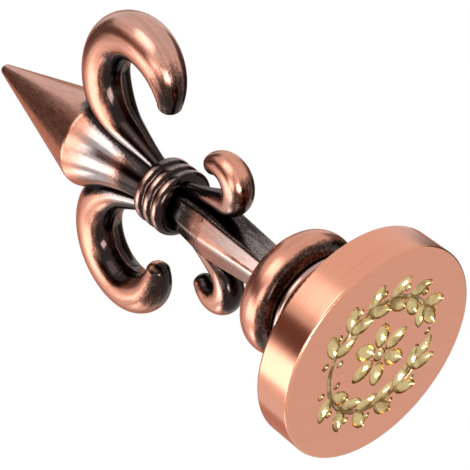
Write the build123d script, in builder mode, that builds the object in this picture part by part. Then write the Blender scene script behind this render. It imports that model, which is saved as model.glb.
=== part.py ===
from build123d import *
import math
import os

# A wax seal stamp, in millimetres. It stands on its engraved face: the origin is the centre of that
# face, +Z runs up the handle to the tip of the spear, and the petals and curls spread along X.

# Stamp head: a round disc with a tapped blind hole in its back
head_diameter = 30.0
head_thickness = 5.35
head_edge_radius = 0.35
thread_diameter = 10.0
thread_clearance = 0.05
spigot_length = 3.3
spigot_end_gap = 0.3
spigot_chamfer = 0.4

# Engraving in the face: a wreath of two boughs with leaves and berries round a six-petalled rosette
wreath_radius = 8.2
bough_start = -102.0
bough_end = 58.0
bough_cut_radius = 0.42
leaf_pairs = 6
first_pair_angle = -70.0
pair_step = 24.0
leaf_length = 4.2
leaf_half_width = 1.05
leaf_lean = 36.0
berry_radius = 0.6
berry_offset = 1.25
crown_angle = 90.0
rosette_petals = 6
rosette_inner_radius = 0.9
rosette_petal_length = 4.1
rosette_petal_half_width = 1.25
rosette_eye_radius = 1.0
cutter_lift = 0.22

# Base knob: foot, cove, bead and bulb, turned in one piece with the threaded spigot
knob_height = 12.25
knob_foot_radius = 7.4
knob_foot_height = 0.9
cove_radius = 6.2
bead_ring_radius = 6.75
bead_radius = 0.6
bulb_ring_radius = 5.9
bulb_tube_radius = 2.95
stem_seat_height = 1.0

# Washers and the long screw that ties the handle together from below
screw_diameter = 3.0
screw_length = 40.0
screw_clearance = 0.05
screw_head_diameter = 5.5
screw_head_height = 3.0
screw_socket_width = 2.5
screw_socket_depth = 1.4
screw_head_clearance = 0.15
screw_hole_spare = 0.6
screw_washer_thickness = 0.5
knob_floor_thickness = 5.6
head_washer_thickness = 0.5
head_washer_width = 1.25
washer_clearance = 0.1

# Tail stem: six flats that swell from the foot to the belly and draw in again under the band
stem_length = 19.8
belly_height = 13.2
stem_foot = (2.3, 1.85, 2.5)
stem_belly = (3.35, 2.3, 3.5)
stem_neck = (2.75, 1.9, 2.9)
stem_edge_radius = 0.25
stem_spigot_radius = 2.95
stem_seat_radius = 1.95
seat_clearance = 0.04

# Binding band: three beads round the gathered petals and curls
bead_count = 3
band_bead_radius = 1.08
band_bead_pitch = 1.75
band_ring_radius = 3.77

# Spear: shank in the band, hollowed flank, sharp ring and long cone
spear_joint_share = 0.5
spear_ring_rise = 13.0
spear_ring_radius = 7.0
spear_ring_edge = 0.5
spear_flank_hollow = 0.9
spear_cone_height = 23.8
spear_tip_radius = 0.9

# Petals: a foot in the band, a straight shaft and a hook that turns back on itself
foot_radius_on_axis = 2.95
petal_foot_depth = 2.5
petal_bend_depth = 0.6
petal_bend_radius = 5.0
petal_hook_x = 12.4
petal_hook_rise = 5.15
petal_hook_radius = 7.6
petal_return_radius = 6.15
petal_hook_turn = 270.0
petal_girth = {"foot": 1.0, "belly": 3.3, "tip": 1.3, "start": 0.0, "crest": 0.41, "fall": 0.72}
petal_stations = 16

# Curls: the same form, smaller, hanging from the lower end of the band
curl_foot_depth = 2.2
curl_bend_depth = 0.3
curl_bend_radius = 4.0
curl_hook_x = 7.8
curl_hook_drop = 7.27
curl_hook_radius = 2.6
curl_return_radius = 3.6
curl_hook_turn = 225.0
curl_girth = {"foot": 0.95, "belly": 2.15, "tip": 1.1, "start": 0.16, "crest": 0.7, "fall": 0.7}
curl_stations = 14
tip_rounding = 0.92

# Heights of the stacked pieces, from the face upwards
head_top = head_thickness
knob_top = head_top + knob_height
stem_top = knob_top + stem_length
band_height = 2 * band_bead_radius + (bead_count - 1) * band_bead_pitch
band_bottom = stem_top
band_top = band_bottom + band_height
joint_level = band_bottom + spear_joint_share * band_height
ring_level = band_top + spear_ring_rise
spear_top = ring_level + spear_cone_height
screw_seat = knob_top - knob_floor_thickness
screw_head_level = screw_seat - screw_washer_thickness
screw_top = screw_head_level + screw_length

# Radii shared by pieces that fit one another
head_radius = head_diameter / 2
thread_radius = thread_diameter / 2
screw_radius = screw_diameter / 2
screw_bore = screw_radius + screw_clearance
band_bore = stem_spigot_radius + seat_clearance
screw_pocket = screw_head_diameter / 2 + screw_head_clearance


def touch_point(start, centre, radius, side):
    """Where a line from start touches a circle, passing it on the left (side 1) or the right (side -1)."""
    reach = math.dist(start, centre)
    heading = math.atan2(centre[1] - start[1], centre[0] - start[0]) + side * math.asin(radius / reach)
    length = math.sqrt(reach**2 - radius**2)
    return start[0] + length * math.cos(heading), start[1] + length * math.sin(heading)


def hook_path(foot_end, bend, bend_radius, centre, radius, return_radius, turn):
    """Centre line in the XZ plane: upright foot, straight shaft, and a hook of two arcs that meet at its
    outermost point, where the return radius takes over. A turn below 0 is clockwise."""
    touch = touch_point(bend, centre, radius, -math.copysign(1, turn))
    start_angle = math.degrees(math.atan2(touch[1] - centre[1], touch[0] - centre[0]))
    return_centre = (centre[0] + radius - return_radius, centre[1])
    with BuildLine(Plane.XZ) as path:
        FilletPolyline(foot_end, bend, touch, radius=bend_radius)
        CenterArc(centre, radius, start_angle, -start_angle)
        CenterArc(return_centre, return_radius, 0, turn + start_angle)
    return path.wire()


def swell(share, girth):
    """Radius along a petal or curl: it swells from the foot to its crest, holds, and thins to the tip."""
    if share < girth["start"]:
        return girth["foot"]
    if share < girth["crest"]:
        rise = (share - girth["start"]) / (girth["crest"] - girth["start"])
        return girth["foot"] + (girth["belly"] - girth["foot"]) * math.sin(math.pi / 2 * rise) ** 2
    if share < girth["fall"]:
        return girth["belly"]
    fall = (share - girth["fall"]) / (1 - girth["fall"])
    return girth["tip"] + (girth["belly"] - girth["tip"]) * (1 - fall**2)


def add_horn(path, girth, stations, allowance=0.0, mode=Mode.ADD):
    """Loft round sections of changing size along a hook path, in the open part."""
    sections = []
    for station in range(stations + 1):
        share = station / stations
        across = Plane(path @ share, x_dir=(0, 1, 0), z_dir=path % share)
        with BuildSketch(across, mode=Mode.PRIVATE) as section:
            Circle(swell(share, girth) + allowance)
        sections.append(section.sketch)
    loft(sections, mode=mode)


def hexagon(level, sizes):
    """Six-sided section: flats at x = ±half_width, ridges at y = ±ridge."""
    half_width, flat_reach, ridge = sizes
    with BuildSketch(Plane.XY.offset(level), mode=Mode.PRIVATE) as section:
        Polygon(
            (0, -ridge),
            (half_width, -flat_reach),
            (half_width, flat_reach),
            (0, ridge),
            (-half_width, flat_reach),
            (-half_width, -flat_reach),
            align=None,
        )
        fillet(section.vertices(), stem_edge_radius)
    return section.sketch


petal_bend = (foot_radius_on_axis, band_top - petal_bend_depth)
petal_path = hook_path(
    (foot_radius_on_axis, band_top - petal_foot_depth),
    petal_bend,
    petal_bend_radius,
    (petal_hook_x, band_top + petal_hook_rise),
    petal_hook_radius,
    petal_return_radius,
    -petal_hook_turn,
)
curl_bend = (foot_radius_on_axis, band_bottom + curl_bend_depth)
curl_path = hook_path(
    (foot_radius_on_axis, band_bottom + curl_foot_depth),
    curl_bend,
    curl_bend_radius,
    (curl_hook_x, band_bottom - curl_hook_drop),
    curl_hook_radius,
    curl_return_radius,
    curl_hook_turn,
)

# Stamp head
with BuildPart() as leaf_cutter:
    with BuildSketch(Plane.XZ):
        with BuildLine():
            ThreePointArc((0, 0), (leaf_length / 2, leaf_half_width), (leaf_length, 0))
            Line((leaf_length, 0), (0, 0))
        make_face()
    revolve(axis=Axis.X)

with BuildPart() as rosette_cutter:
    with BuildSketch(Plane.XZ):
        with BuildLine():
            ThreePointArc(
                (0, 0),
                (rosette_petal_length / 2, rosette_petal_half_width),
                (rosette_petal_length, 0),
            )
            Line((rosette_petal_length, 0), (0, 0))
        make_face()
    revolve(axis=Axis.X)


def on_wreath(angle, radius, side):
    """Point of the wreath at an angle from +X, on the right bough or mirrored on the left one."""
    turn = math.radians(angle)
    return side * radius * math.cos(turn), radius * math.sin(turn), -cutter_lift


def heading(angle, side):
    """Direction in the face, mirrored for the left bough."""
    return angle if side > 0 else 180 - angle


quarter_turn = 90.0
leaf_places = []
berry_places = []
for side in (1, -1):
    for pair in range(leaf_pairs):
        pair_angle = first_pair_angle + pair * pair_step
        for lean in (-leaf_lean, leaf_lean):
            leaf_heading = heading(pair_angle + quarter_turn + lean, side)
            leaf_places.append(Location(on_wreath(pair_angle, wreath_radius, side), (0, 0, leaf_heading)))
        for offset in (-berry_offset, berry_offset):
            berry_places.append(on_wreath(pair_angle - pair_step / 4, wreath_radius + offset, side))
    end_heading = heading(bough_end + quarter_turn, side)
    leaf_places.append(Location(on_wreath(bough_end, wreath_radius, side), (0, 0, end_heading)))
berry_places.append(on_wreath(crown_angle, wreath_radius, 1))

with BuildPart() as stamp_head:
    Cylinder(head_radius, head_thickness, align=(Align.CENTER, Align.CENTER, Align.MIN))
    fillet(stamp_head.edges().filter_by(GeomType.CIRCLE), head_edge_radius)
    with Locations((0, 0, head_top)):
        Cylinder(
            thread_radius + thread_clearance,
            spigot_length + spigot_end_gap,
            align=(Align.CENTER, Align.CENTER, Align.MAX),
            mode=Mode.SUBTRACT,
        )
    for side in (1, -1):
        with BuildSketch(Plane.XZ.rotated((0, 0, heading(bough_start, side)))):
            with Locations((wreath_radius, -cutter_lift)):
                Circle(bough_cut_radius)
        revolve(axis=Axis.Z, revolution_arc=side * (bough_end - bough_start), mode=Mode.SUBTRACT)
    with Locations(*leaf_places):
        add(leaf_cutter.part, mode=Mode.SUBTRACT)
    with Locations(*berry_places):
        Sphere(berry_radius, mode=Mode.SUBTRACT)
    with Locations((0, 0, -cutter_lift)):
        with PolarLocations(rosette_inner_radius, rosette_petals):
            add(rosette_cutter.part, mode=Mode.SUBTRACT)
        Sphere(rosette_eye_radius, mode=Mode.SUBTRACT)

# Washer between the knob's foot and the back of the head
with BuildPart() as head_washer:
    with BuildSketch(Plane.XY.offset(head_top)):
        Circle(thread_radius + washer_clearance + head_washer_width)
        Circle(thread_radius + washer_clearance, mode=Mode.SUBTRACT)
    extrude(amount=head_washer_thickness)

# Base knob with its threaded spigot
bulb_level = knob_top - bulb_tube_radius
bead_level = bulb_level - bulb_tube_radius - bead_radius
cove_level = (head_top + knob_foot_height + bead_level - bead_radius) / 2
with BuildPart() as base_knob:
    with BuildSketch(Plane.XZ):
        with BuildLine():
            Polyline(
                (0, knob_top),
                (0, head_top),
                (knob_foot_radius, head_top),
                (knob_foot_radius, head_top + knob_foot_height),
            )
            ThreePointArc(
                (knob_foot_radius, head_top + knob_foot_height),
                (cove_radius, cove_level),
                (bead_ring_radius, bead_level - bead_radius),
            )
            ThreePointArc(
                (bead_ring_radius, bead_level - bead_radius),
                (bead_ring_radius + bead_radius, bead_level),
                (bead_ring_radius, bead_level + bead_radius),
            )
            Line(
                (bead_ring_radius, bead_level + bead_radius),
                (bulb_ring_radius, bulb_level - bulb_tube_radius),
            )
            ThreePointArc(
                (bulb_ring_radius, bulb_level - bulb_tube_radius),
                (bulb_ring_radius + bulb_tube_radius, bulb_level),
                (bulb_ring_radius, knob_top),
            )
            Line((bulb_ring_radius, knob_top), (0, knob_top))
        make_face()
    revolve(axis=Axis.Z)
    with Locations((0, 0, head_top)):
        Cylinder(
            thread_radius + 2 * washer_clearance + head_washer_width,
            head_washer_thickness,
            align=(Align.CENTER, Align.CENTER, Align.MIN),
            mode=Mode.SUBTRACT,
        )
        Cylinder(thread_radius, head_washer_thickness, align=(Align.CENTER, Align.CENTER, Align.MIN))
        Cylinder(thread_radius, spigot_length, align=(Align.CENTER, Align.CENTER, Align.MAX))
    chamfer(base_knob.edges().filter_by(GeomType.CIRCLE).group_by(Axis.Z)[0], spigot_chamfer)
    with Locations((0, 0, screw_seat)):
        Cylinder(
            screw_pocket,
            screw_seat - head_top + spigot_length,
            align=(Align.CENTER, Align.CENTER, Align.MAX),
            mode=Mode.SUBTRACT,
        )
    with Locations((0, 0, knob_top)):
        Hole(screw_bore, depth=knob_floor_thickness)
        Hole(stem_seat_radius + seat_clearance, depth=stem_seat_height)

# Washer and long socket screw
with BuildPart() as screw_washer:
    with BuildSketch(Plane.XY.offset(screw_head_level)):
        Circle(screw_head_diameter / 2)
        Circle(screw_bore, mode=Mode.SUBTRACT)
    extrude(amount=screw_washer_thickness)

with BuildPart() as tie_screw:
    with BuildSketch(Plane.XY.offset(screw_head_level - screw_head_height)):
        Circle(screw_head_diameter / 2)
    extrude(amount=screw_head_height)
    with BuildSketch(Plane.XY.offset(screw_head_level)):
        Circle(screw_radius)
    extrude(amount=screw_length)
    with BuildSketch(Plane.XY.offset(screw_head_level - screw_head_height)):
        RegularPolygon(screw_socket_width / 2, 6, major_radius=False)
    extrude(amount=screw_socket_depth, mode=Mode.SUBTRACT)

# Curls, made before the pieces that they are let into
with BuildPart() as curl_right:
    add_horn(curl_path, curl_girth, curl_stations)
    curl_end = curl_right.faces().sort_by_distance(curl_path @ 1)[0]
    fillet(curl_end.edges(), tip_rounding * curl_girth["tip"])

with BuildPart() as curl_left:
    mirror(curl_right.part, about=Plane.YZ)

with BuildPart() as curl_seats:
    add_horn(curl_path, curl_girth, curl_stations, seat_clearance)
    mirror(curl_seats.part, about=Plane.YZ)

# Petals
with BuildPart() as petal_right:
    add_horn(petal_path, petal_girth, petal_stations)
    petal_end = petal_right.faces().sort_by_distance(petal_path @ 1)[0]
    fillet(petal_end.edges(), tip_rounding * petal_girth["tip"])

with BuildPart() as petal_left:
    mirror(petal_right.part, about=Plane.YZ)

with BuildPart() as petal_seats:
    add_horn(petal_path, petal_girth, petal_stations, seat_clearance)
    mirror(petal_seats.part, about=Plane.YZ)

# Tail stem
belly_level = knob_top + belly_height
with BuildPart() as tail_stem:
    loft(
        [hexagon(knob_top, stem_foot), hexagon(belly_level, stem_belly), hexagon(stem_top, stem_neck)],
        ruled=True,
    )
    with Locations((0, 0, stem_top)):
        Cylinder(stem_spigot_radius, joint_level - stem_top, align=(Align.CENTER, Align.CENTER, Align.MIN))
    with Locations((0, 0, knob_top)):
        Cylinder(stem_seat_radius, stem_seat_height, align=(Align.CENTER, Align.CENTER, Align.MAX))
    with Locations((0, 0, joint_level)):
        Hole(screw_bore, depth=joint_level - knob_top + stem_seat_height)
    add(curl_seats.part, mode=Mode.SUBTRACT)

# Binding band
with BuildPart() as binding_band:
    with BuildSketch(Plane.XZ):
        with Locations((band_bore, band_bottom)):
            Rectangle(band_ring_radius - band_bore, band_height, align=Align.MIN)
        for bead in range(bead_count):
            with Locations((band_ring_radius, band_bottom + band_bead_radius + bead * band_bead_pitch)):
                Circle(band_bead_radius)
        with Locations((0, band_bottom)):
            Rectangle(band_bore, band_height, align=Align.MIN, mode=Mode.SUBTRACT)
    revolve(axis=Axis.Z)
    add(petal_seats.part, mode=Mode.SUBTRACT)
    add(curl_seats.part, mode=Mode.SUBTRACT)

# Spear
tip_centre = (0, spear_top - spear_tip_radius)
tip_touch = touch_point((spear_ring_radius, ring_level), tip_centre, spear_tip_radius, -1)
with BuildPart() as spear:
    with BuildSketch(Plane.XZ) as spear_profile:
        with BuildLine():
            Polyline(
                (0, spear_top),
                (0, joint_level),
                (stem_spigot_radius, joint_level),
                (stem_spigot_radius, band_top),
            )
            SagittaArc((stem_spigot_radius, band_top), (spear_ring_radius, ring_level), spear_flank_hollow)
            Line((spear_ring_radius, ring_level), tip_touch)
            RadiusArc(tip_touch, (0, spear_top), -spear_tip_radius)
        make_face()
        fillet(spear_profile.vertices().sort_by(Axis.X)[-1], spear_ring_edge)
    revolve(axis=Axis.Z)
    with Locations((0, 0, joint_level)):
        Cylinder(
            screw_bore,
            screw_top + screw_hole_spare - joint_level,
            align=(Align.CENTER, Align.CENTER, Align.MIN),
            mode=Mode.SUBTRACT,
        )
    add(petal_seats.part, mode=Mode.SUBTRACT)

os.makedirs("parts", exist_ok=True)
stamp_head.part.label = "stamp_head"
export_step(stamp_head.part, "parts/stamp_head.step")
head_washer.part.label = "head_washer"
export_step(head_washer.part, "parts/head_washer.step")
base_knob.part.label = "base_knob"
export_step(base_knob.part, "parts/base_knob.step")
screw_washer.part.label = "screw_washer"
export_step(screw_washer.part, "parts/screw_washer.step")
tie_screw.part.label = "tie_screw"
export_step(tie_screw.part, "parts/tie_screw.step")
tail_stem.part.label = "tail_stem"
export_step(tail_stem.part, "parts/tail_stem.step")
curl_right.part.label = "curl_right"
export_step(curl_right.part, "parts/curl_right.step")
curl_left.part.label = "curl_left"
export_step(curl_left.part, "parts/curl_left.step")
binding_band.part.label = "binding_band"
export_step(binding_band.part, "parts/binding_band.step")
petal_right.part.label = "petal_right"
export_step(petal_right.part, "parts/petal_right.step")
petal_left.part.label = "petal_left"
export_step(petal_left.part, "parts/petal_left.step")
spear.part.label = "spear"
export_step(spear.part, "parts/spear.step")
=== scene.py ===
import math

import bmesh
import bpy
from bpy.props import FloatProperty, FloatVectorProperty, PointerProperty
from mathutils import Matrix, Vector
from mathutils.bvhtree import BVHTree


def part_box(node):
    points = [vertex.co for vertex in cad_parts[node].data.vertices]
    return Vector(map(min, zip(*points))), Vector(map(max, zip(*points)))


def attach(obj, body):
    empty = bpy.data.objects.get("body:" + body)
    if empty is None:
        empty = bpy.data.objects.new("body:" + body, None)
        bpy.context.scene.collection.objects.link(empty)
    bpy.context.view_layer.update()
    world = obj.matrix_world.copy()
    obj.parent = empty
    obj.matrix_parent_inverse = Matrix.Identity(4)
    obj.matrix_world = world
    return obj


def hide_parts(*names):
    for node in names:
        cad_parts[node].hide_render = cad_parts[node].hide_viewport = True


bl_info = {
    "name": "Wax seal stamp",
    "version": (1, 0, 0),
    "blender": (4, 5, 0),
    "location": "View3D > Sidebar > Stamp",
    "description": "Dresses the packed wax seal stamp: lily handle, head finishes, studio and camera",
    "category": "Object",
}

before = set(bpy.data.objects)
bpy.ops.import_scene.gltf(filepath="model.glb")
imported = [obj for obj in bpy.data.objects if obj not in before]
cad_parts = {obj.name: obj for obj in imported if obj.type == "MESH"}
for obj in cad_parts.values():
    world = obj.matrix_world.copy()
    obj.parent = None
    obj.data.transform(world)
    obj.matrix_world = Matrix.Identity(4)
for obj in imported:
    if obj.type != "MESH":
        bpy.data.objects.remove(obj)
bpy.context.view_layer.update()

MM = 0.001
# Points closer than this are one
WELD = 0.002 * MM

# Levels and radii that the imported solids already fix
KNOB_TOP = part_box("base_knob")[1].z
SPIGOT_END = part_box("base_knob")[0].z
HEAD_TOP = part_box("stamp_head")[1].z
BAND_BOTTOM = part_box("binding_band")[0].z
BAND_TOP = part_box("binding_band")[1].z
BAND_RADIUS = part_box("binding_band")[1].y
SPEAR_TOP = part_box("spear")[1].z
JOINT_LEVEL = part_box("spear")[0].z
SPEAR_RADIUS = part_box("spear")[1].y
BULB_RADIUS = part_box("base_knob")[1].y
SCREW_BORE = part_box("tie_screw")[1].y


def length(name, millimetres, description):
    """A length property whose default is written in millimetres."""
    return FloatProperty(
        name=name,
        description=description,
        default=millimetres * MM,
        min=0.0,
        precision=5,
        unit="LENGTH",
    )


def share(name, default, description):
    """A property between 0 and 1."""
    return FloatProperty(
        name=name,
        description=description,
        default=default,
        min=0.0,
        max=1.0,
        subtype="FACTOR",
    )


def brightness(name, default, description):
    """A lamp's brightness, where the white room is 1."""
    return FloatProperty(name=name, description=description, default=default, min=0.0)


def section(name, millimetres, description):
    """A six-sided section: half width, reach of the side flats and height of the ridges, in millimetres."""
    return FloatVectorProperty(
        name=name,
        description=description,
        default=[size * MM for size in millimetres],
        size=3,
        min=0.0,
        precision=5,
        unit="LENGTH",
    )


def angle(name, degrees, description):
    """An angle property whose default is written in degrees."""
    return FloatProperty(name=name, description=description, default=math.radians(degrees), subtype="ANGLE")


def linear(hex_colour):
    """Turns an sRGB hex colour into the linear one that shaders and lamps read."""
    values = []
    for place in (1, 3, 5):
        coded = int(hex_colour[place:place + 2], 16) / 255
        values.append(coded / 12.92 if coded <= 0.04045 else ((coded + 0.055) / 1.055) ** 2.4)
    return (*values, 1.0)


def colour(name, hex_colour, description):
    """A colour property whose default is written as sRGB hex."""
    return FloatVectorProperty(
        name=name,
        description=description,
        default=linear(hex_colour),
        size=4,
        min=0.0,
        max=1.0,
        subtype="COLOR",
    )


class PetalSizes(bpy.types.PropertyGroup):
    foot_depth: length("Foot depth", 2.5, "How far the foot reaches down into the band")
    bend_depth: length("Bend depth", 0.6, "How far under the band's top the shaft leans out")
    bend_radius: length("Bend radius", 5.0, "Radius of that bend")
    hook_place: length("Hook place", 12.4, "Distance of the hook's centre from the axis")
    hook_rise: length("Hook rise", 5.15, "Height of the hook's centre over the band's top")
    hook_radius: length("Hook radius", 7.6, "Radius of the rising half of the hook")
    return_radius: length("Return radius", 6.15, "Radius of the half that comes back")
    hook_turn: angle("Hook turn", -270.0, "Turn of the whole hook; below 0 is clockwise")
    foot_girth: length("Foot girth", 1.0, "Radius of the horn at its foot")
    belly_girth: length("Belly girth", 3.3, "Radius of the horn where it is thickest")
    tip_girth: length("Tip girth", 1.3, "Radius of the horn at its tip")
    swell_start: share("Swell start", 0.0, "Share of the length at which it begins to swell")
    swell_crest: share("Swell crest", 0.41, "Share of the length at which it is thickest")
    swell_fall: share("Swell fall", 0.72, "Share of the length after which it thins")


class CurlSizes(bpy.types.PropertyGroup):
    foot_depth: length("Foot depth", 2.2, "How far the foot reaches up into the band")
    bend_depth: length("Bend depth", 0.3, "How far over the band's bottom the shaft leans out")
    bend_radius: length("Bend radius", 4.0, "Radius of that bend")
    hook_place: length("Hook place", 7.8, "Distance of the hook's centre from the axis")
    hook_drop: length("Hook drop", 7.27, "Depth of the hook's centre under the band's bottom")
    hook_radius: length("Hook radius", 2.6, "Radius of the falling half of the hook")
    return_radius: length("Return radius", 3.6, "Radius of the half that comes back")
    hook_turn: angle("Hook turn", 225.0, "Turn of the whole hook; below 0 is clockwise")
    foot_girth: length("Foot girth", 0.95, "Radius of the horn at its foot")
    belly_girth: length("Belly girth", 2.15, "Radius of the horn where it is thickest")
    tip_girth: length("Tip girth", 1.1, "Radius of the horn at its tip")
    swell_start: share("Swell start", 0.16, "Share of the length at which it begins to swell")
    swell_crest: share("Swell crest", 0.7, "Share of the length at which it is thickest")
    swell_fall: share("Swell fall", 0.7, "Share of the length after which it thins")


class ShankSizes(bpy.types.PropertyGroup):
    ring_level: length("Ring level", 56.06, "Height of the spear's sharp ring over the face")
    ring_edge: length("Ring edge", 0.3, "How far back from its corner that ring is rounded")
    flank_hollow: length("Flank hollow", 0.9, "Depth of the hollow in the flank under the ring")
    spear_tip: length("Spear tip", 0.9, "Radius of the rounded tip")
    shank_radius: length("Shank radius", 2.95, "Radius of the spear's shank, where the horns' feet lie")
    bead_radius: length("Bead radius", 1.08, "Radius of the band's three beads")
    bead_pitch: length("Bead pitch", 1.75, "Distance between the beads")
    stem_foot: section("Stem foot", (2.3, 1.85, 2.5), "Section of the stem on top of the knob")
    stem_belly: section("Stem belly", (3.35, 2.3, 3.5), "Section of the stem where it is widest")
    stem_neck: section("Stem neck", (2.75, 1.9, 2.9), "Section of the stem under the band")
    stem_root: section("Stem root", (2.2, 1.5, 2.4), "Section of the stem where it ends inside the band")
    belly_level: length("Belly level", 30.8, "Height of the stem's widest place over the face")
    root_depth: length("Root depth", 1.0, "How far the stem reaches up into the band")
    stem_edge: length("Stem edge", 0.3, "Width of the rubbed edges between the stem's flats")
    bulb_tube: length("Bulb tube", 2.95, "Radius of the knob's bulb in section")
    knob_bead: length("Knob bead", 0.6, "Radius of the bead under the bulb")
    knob_bead_ring: length("Knob bead ring", 6.75, "Distance of that bead's centre from the axis")
    cove_radius: length("Cove radius", 6.2, "Radius of the knob at the bottom of its cove")
    foot_radius: length("Foot radius", 7.4, "Radius of the knob's foot")
    foot_height: length("Foot height", 0.9, "Height of the knob's foot")
    thread_radius: length("Thread radius", 5.0, "Outer radius of the spigot's thread")
    thread_pitch: length("Thread pitch", 1.0, "Rise of the thread in one turn")
    thread_depth: length("Thread depth", 0.54, "Depth of the thread's grooves")
    pocket_room: length("Pocket room", 0.15, "Room round the screw's washer in its pocket")
    recess_room: length("Recess room", 0.1, "Room round the head's washer in its recess")


class FinishColours(bpy.types.PropertyGroup):
    polished: colour("Polished copper", "#D2917A", "Copper plating where the polishing wheel reached it")
    half_worn: colour("Half-worn copper", "#85594A", "Copper plating with the blackening half rubbed away")
    blackened: colour("Blackened copper", "#472C21", "Blackening left in the recesses")
    deep_black: colour("Deep black", "#261A17", "Blackening at its thickest")
    # Grey film colour; the wear rules also lay it where it stands for painted sheen and painted highlights
    film: colour("Grey film", "#A89A96", "Thin grey film that the plating bath left and the wheel missed")
    head_copper: colour("Head copper", "#D8957A", "Brushed copper of the head")
    cut_brass: colour("Cut brass", "#CDB682", "Bare brass in the engraving")
    # Painted shade in the cuts, standing for dark reflections in their walls
    cut_painted_shade: colour("Cut shade", "#7A5E36", "Dull brass along the edges of the cuts")
    zinc: colour("Zinc plating", "#BDBCB6", "Plating on the screw and its washer")
    fibre: colour("Red fibre", "#7A3226", "Pressed fibre of the head's washer")
    floor: colour("Floor", "#F2F1EE", "Pale studio floor")


class StudioSettings(bpy.types.PropertyGroup):
    lens: length("Lens", 141.7, "Focal length on a sensor 36 mm wide")
    key_level: brightness("Key level", 2.5, "Brightness of the softboxes and the reflector in front")
    side_level: brightness("Side level", 3.0, "Brightness of the side reflector")
    low_level: brightness("Low level", 24.0, "Brightness of the small lamp below")
    room: colour("Room", "#FAFAFA", "Pale room round the stamp")
    dark_room: colour("Dark room", "#463A36", "Dark ceiling over the softboxes and wall to the right")
    red_gap: colour("Red gap", "#5A3426", "Dark red curtain between the softboxes")
    back_wall: colour("Back wall", "#A8806F", "Warm wall behind the stamp, which darkens its outlines")


# Drawing helpers

# Faces round a turned piece
TURN_STEPS = 180
# How far from a neighbour the blackening reaches, in millimetres: partly patina where the polishing wheel
# stayed away, partly painted shade
RECESS = 1.3
DEEP_RECESS = 1.8


class Outline:
    """A line drawn in the XZ plane from its first point: runs, arcs, and a turn round the handle's axis."""

    def __init__(self, x, z):
        self.bm = bmesh.new()
        self.first = self.end = self.bm.verts.new((x, 0.0, z))

    def run(self, x, z, steps=1):
        """Extrudes the end point to (x, z) in equal steps."""
        start = self.end.co.copy()
        for step in range(1, steps + 1):
            self.end = bmesh.ops.extrude_vert_indiv(self.bm, verts=[self.end])["verts"][0]
            self.end.co = start.lerp(Vector((x, 0.0, z)), step / steps)

    def arc(self, x, z, turn, steps):
        """Spins the end point about (x, z); a positive turn runs from X towards Z."""
        made = bmesh.ops.spin(
            self.bm,
            geom=[self.end],
            cent=(x, 0.0, z),
            axis=(0.0, -1.0, 0.0),
            angle=turn,
            steps=steps,
        )
        self.end = made["geom_last"][0]

    def close(self):
        """Joins the end point to the first one."""
        self.bm.edges.new((self.end, self.first))

    def turn(self):
        """Spins the whole outline round the handle's axis into a closed skin."""
        bmesh.ops.spin(
            self.bm,
            geom=self.bm.verts[:] + self.bm.edges[:],
            cent=(0.0, 0.0, 0.0),
            axis=(0.0, 0.0, 1.0),
            angle=2 * math.pi,
            steps=TURN_STEPS,
            use_merge=True,
        )
        bmesh.ops.remove_doubles(self.bm, verts=self.bm.verts[:], dist=WELD)
        bmesh.ops.recalc_face_normals(self.bm, faces=self.bm.faces[:])
        return self.bm


def ease(low, high, value):
    """0 below low, 1 above high, and an even curve between."""
    part = min(max((value - low) / (high - low), 0.0), 1.0)
    return part * part * (3 - 2 * part)


def wear_layers(bm):
    """Vertex layers for the finish: relief and shade (0 black to 1 copper; the black is partly patina,
    partly painted shade), film and sheen (a grey veil, partly painted sheen and highlight) and grain (in
    mm).
    """
    layers = bm.verts.layers
    return layers.float.new("relief"), layers.float.new("film"), layers.float_vector.new("grain")


def add_wear(bm, rule, grain):
    """Stores each point's relief and film by a rule, both of which may carry painted shade and painted
    sheen, and its place in mm times grain, which is less than 1 along the streaks and so draws them out."""
    bm.normal_update()
    relief, film, lay = wear_layers(bm)
    for vert in bm.verts:
        place = vert.co / MM
        vert[relief], vert[film] = rule(place, vert.normal)
        vert[lay] = Vector(place[axis] * grain[axis] for axis in range(3))


def shade_by_neighbours(bm, neighbours, reach):
    """Darkens within a reach, in mm, of other pieces: partly patina where the wheel couldn't pass, partly
    painted shade where the neighbours occlude; the film and its painted sheen fade there too.
    """
    relief = bm.verts.layers.float["relief"]
    film = bm.verts.layers.float["film"]
    for name in neighbours:
        solid = bmesh.new()
        solid.from_mesh(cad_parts[name].data)
        tree = BVHTree.FromBMesh(solid)
        solid.free()
        for vert in bm.verts:
            near = tree.find_nearest(vert.co, reach * MM)[3]
            if near is not None:
                vert[relief] *= ease(0.1, reach, near / MM)
                vert[film] *= ease(0.0, 0.6 * reach, near / MM)


def add_object(bm, name, mesh_name, material):
    """Turns a finished bmesh into an object of the scene with one material."""
    mesh = bpy.data.meshes.new(mesh_name)
    bm.to_mesh(mesh)
    bm.free()
    mesh.materials.append(material)
    made = bpy.data.objects.new(name, mesh)
    bpy.context.scene.collection.objects.link(made)
    return made


def finish_piece(bm, name):
    """Gives a piece its antique copper and lets it stand for the CAD node of the same name."""
    piece = add_object(bm, name + "_dressed", name + "_mesh", antique_copper())
    piece.data.shade_smooth()
    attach(piece, "handle")
    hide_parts(name)


# Materials

# Brush lines on the head's face: their turn, length and spacing
BRUSH_TURN = math.radians(104.7)
BRUSH_LENGTH = 24.0 * MM
BRUSH_SPACING = 0.16 * MM
# Turning lines round the head's side, in millimetres
TURNING_LENGTH = 20.0
TURNING_SPACING = 0.12
# Depths in the head: where its face ends, where a cut begins, where the painted shade along its edge gives
# way to bright brass, and below all cuts
FACE_SKIN = 0.02 * MM
CUT_EDGE = 0.03 * MM
CUT_BRIGHT = 0.35 * MM
CUT_DEPTH = 1.3 * MM
# Radius outside the whole engraving
CUT_REACH = 12.9 * MM
# Depth of the cutter's marks, where that of the brush lines is 1
CUTTER_MARKS = 45.0


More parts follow.
